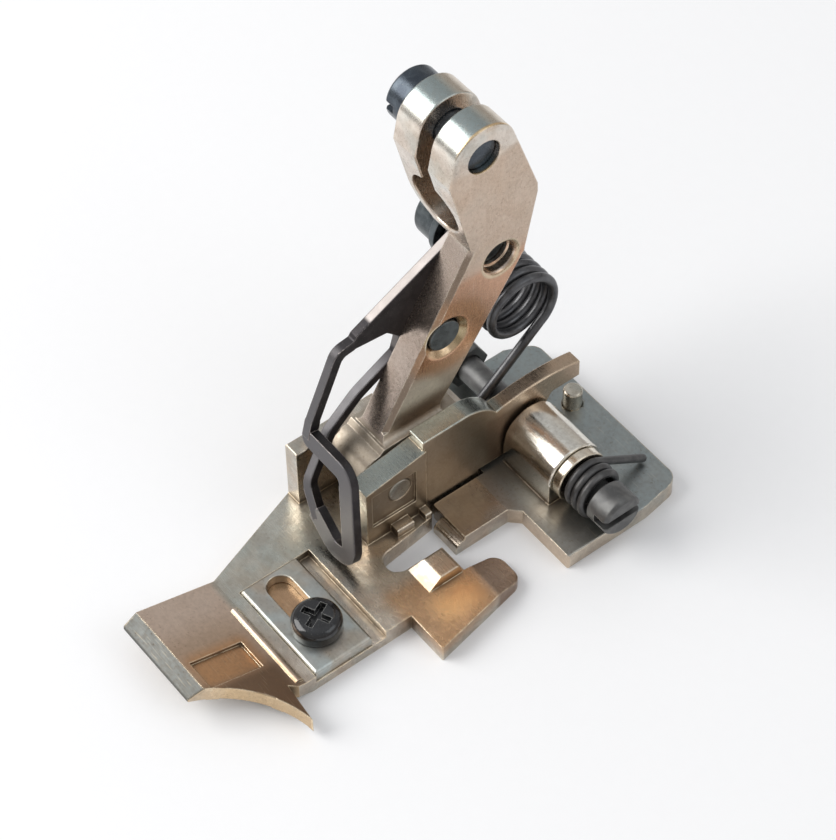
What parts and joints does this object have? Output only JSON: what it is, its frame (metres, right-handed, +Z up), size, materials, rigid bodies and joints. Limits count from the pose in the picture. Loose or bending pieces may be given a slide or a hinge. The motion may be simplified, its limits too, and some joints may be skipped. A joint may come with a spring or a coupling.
{
  "type": "sewing machine presser foot",
  "caption": "Hinged presser foot with a split clamp for the presser bar, a leaning shank, a bent front sole with needle slot and guide, a sprung rear sole and a wire finger guard.",
  "frame": {"origin": "on the underside of the front sole, below the middle of the hinge pin", "axes": "+X to the operator's right, +Y to the rear along the feed, +Z up"},
  "size_m": [0.0289, 0.0531, 0.0452],
  "materials": {
    "nickel_sole": "nickel plate, satin, warm",
    "nickel_slide": "nickel plate, brushed",
    "nickel_arm": "nickel plate, satin, warm",
    "bright_steel": "bright turned",
    "blued_steel": "black oxide, worn edges",
    "black_oxide": "black oxide, oiled",
    "spring_steel": "black spring wire",
    "dark_steel": "plain dark steel"
  },
  "bodies": {
    "front": {"front_sole": "nickel_sole", "hinge_pin": "bright_steel", "guide_screw": "black_oxide", "rear_hinge_screw": "black_oxide", "rear_hinge_nut": "dark_steel", "hinge_collar": "bright_steel", "rear_spring": "spring_steel"},
    "arm": {"shank_arm": "nickel_arm", "clamp_screw": "black_oxide", "finger_guard": "blued_steel", "guard_washer": "black_oxide", "guard_screw_upper": "black_oxide", "guard_screw_lower": "black_oxide", "tilt_spring": "spring_steel"},
    "rear": {"rear_sole": "nickel_sole", "stop_peg": "bright_steel"},
    "guide": {"guide_slide": "nickel_slide"}
  },
  "joints": [
    {"name": "arm_tilt", "type": "hinge", "parent": "front", "child": "arm", "pos_m": [0, 0, 0.007], "axis": [-1, 0, 0], "range_deg": [0, 8], "stiffness_Nm_per_rad": 0.02, "springref_deg": -14.32, "deforming": ["tilt_spring"]},
    {"name": "rear_sole_tilt", "type": "hinge", "parent": "front", "child": "rear", "pos_m": [0.009, 0.0156, 0.005], "axis": [1, 0, 0], "range_deg": [-4, 12], "stiffness_Nm_per_rad": 0.01, "deforming": ["rear_spring"]},
    {"name": "guide_slide", "type": "slide", "parent": "front", "child": "guide", "axis": [1, 0, 0], "range_m": [0, 0.005]}
  ]
}
